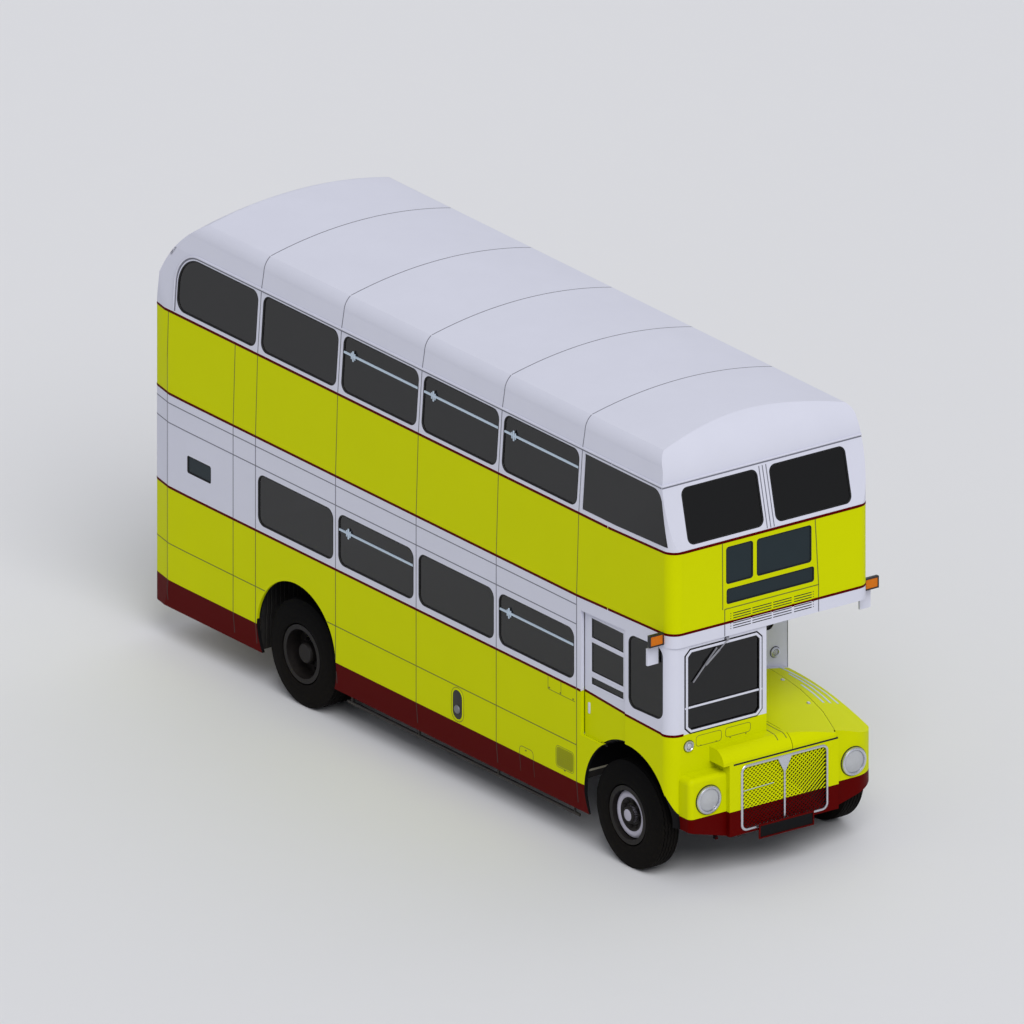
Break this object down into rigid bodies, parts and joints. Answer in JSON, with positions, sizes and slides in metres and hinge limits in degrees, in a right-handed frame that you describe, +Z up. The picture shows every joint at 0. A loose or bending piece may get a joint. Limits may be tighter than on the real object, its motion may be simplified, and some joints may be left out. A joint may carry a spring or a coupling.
{
  "type": "double decker bus",
  "caption": "Half-cab double decker bus with an open rear platform, front radiator cowl, sliding cab door, opening bonnet and steered front wheels.",
  "frame": {"origin": "on the ground under the middle of the overall length and width", "axes": "+X towards the front, +Y towards the nearside (left), +Z up"},
  "size_m": [8.38, 2.636, 4.38],
  "materials": {
    "paint": "gloss two-colour coachwork paint",
    "white_paint": "gloss",
    "frame_black": "satin",
    "floor_ply": "ribbed lino on ply",
    "glass": "clear",
    "silver": "polished",
    "amber": "amber lens",
    "display": "dark glass",
    "black_plate": "gloss",
    "tyre": "matte",
    "rim": "satin",
    "seat_fabric": "moquette",
    "interior": "satin",
    "steel": "painted",
    "black_plastic": "satin"
  },
  "bodies": {
    "coachwork": {"underframe": "frame_black", "front_subframe": "frame_black", "lower_deck_floor": "floor_ply", "rear_platform": "floor_ply", "upper_deck_floor": "floor_ply", "lower_side_right": "paint", "lower_side_left": "paint", "lower_rear_corner": "paint", "upper_side_right": "paint", "upper_side_left": "paint", "upper_front": "paint", "upper_rear": "paint", "front_dome": "white_paint", "roof_panels": "white_paint", "rear_dome": "white_paint", "front_bulkhead": "white_paint", "rear_bulkhead": "interior", "cab_shell": "paint", "cab_floor": "black_plate", "nearside_wing": "paint", "offside_wing": "paint", "radiator_cowl": "paint", "grille_frame": "silver", "radiator_grille": "black_plate", "lamps": "silver", "number_plates": "black_plate", "lower_windows": "glass", "upper_windows": "glass", "cab_windows": "glass", "window_rails": "silver", "destination_displays": "display", "lower_seats": "seat_fabric", "upper_seats": "seat_fabric", "seat_frames": "silver", "driver_seat": "black_plastic", "staircase": "interior", "platform_pole": "white_paint", "engine": "steel", "propshaft": "steel", "fuel_tank": "frame_black", "rear_axle": "steel", "wishbones": "steel", "mirrors": "white_paint", "trafficators": "amber"},
    "cab_door": {"cab_door": "paint", "cab_door_glass": "glass"},
    "bonnet": {"bonnet": "paint"},
    "emergency_window": {"emergency_window": "paint", "emergency_glass": "glass"},
    "steering_wheel": {"steering_wheel": "black_plastic"},
    "stub_axle_right": {"stub_axle_right": "steel"},
    "front_wheel_right": {"front_wheel_right": "rim", "front_tyre_right": "tyre"},
    "rear_wheel_right": {"rear_wheel_right": "rim", "rear_tyres_right": "tyre"},
    "stub_axle_left": {"stub_axle_left": "steel"},
    "front_wheel_left": {"front_wheel_left": "rim", "front_tyre_left": "tyre"},
    "rear_wheel_left": {"rear_wheel_left": "rim", "rear_tyres_left": "tyre"}
  },
  "joints": [
    {"name": "steer_left", "type": "hinge", "parent": "coachwork", "child": "stub_axle_left", "pos_m": [3.31, 0.92, 0.527], "axis": [0, 0, 1], "range_deg": [-35, 35]},
    {"name": "front_wheel_spin_left", "type": "hinge", "parent": "stub_axle_left", "child": "front_wheel_left", "pos_m": [3.31, 0.92, 0.527], "axis": [0, 1, 0], "continuous": true},
    {"name": "rear_wheel_spin_left", "type": "hinge", "parent": "coachwork", "child": "rear_wheel_left", "pos_m": [-1.821, 0.92, 0.527], "axis": [0, 1, 0], "continuous": true},
    {"name": "steer_right", "type": "hinge", "parent": "coachwork", "child": "stub_axle_right", "pos_m": [3.31, -0.92, 0.527], "axis": [0, 0, 1], "range_deg": [-35, 35]},
    {"name": "front_wheel_spin_right", "type": "hinge", "parent": "stub_axle_right", "child": "front_wheel_right", "pos_m": [3.31, -0.92, 0.527], "axis": [0, 1, 0], "continuous": true},
    {"name": "rear_wheel_spin_right", "type": "hinge", "parent": "coachwork", "child": "rear_wheel_right", "pos_m": [-1.821, -0.92, 0.527], "axis": [0, 1, 0], "continuous": true},
    {"name": "steering_wheel_turn", "type": "hinge", "parent": "coachwork", "child": "steering_wheel", "pos_m": [3.42832, -0.595, 1.71244], "axis": [-0.4617, 0, 0.887], "range_deg": [-630, 630]},
    {"name": "cab_door_slide", "type": "slide", "parent": "coachwork", "child": "cab_door", "axis": [-1, 0, 0], "range_m": [0, 0.58]},
    {"name": "bonnet_hinge", "type": "hinge", "parent": "coachwork", "child": "bonnet", "pos_m": [3.31, 0.1, 1.34], "axis": [1, 0, 0], "range_deg": [0, 75]},
    {"name": "emergency_window_hinge", "type": "hinge", "parent": "coachwork", "child": "emergency_window", "pos_m": [-4.1455, 0, 3.335], "axis": [0, -1, 0], "range_deg": [0, 80]}
  ],
  "couplings": [
    {"joint": "steer_right", "follows": "steer_left", "ratio": 1},
    {"joint": "steering_wheel_turn", "follows": "steer_left", "ratio": 18}
  ]
}
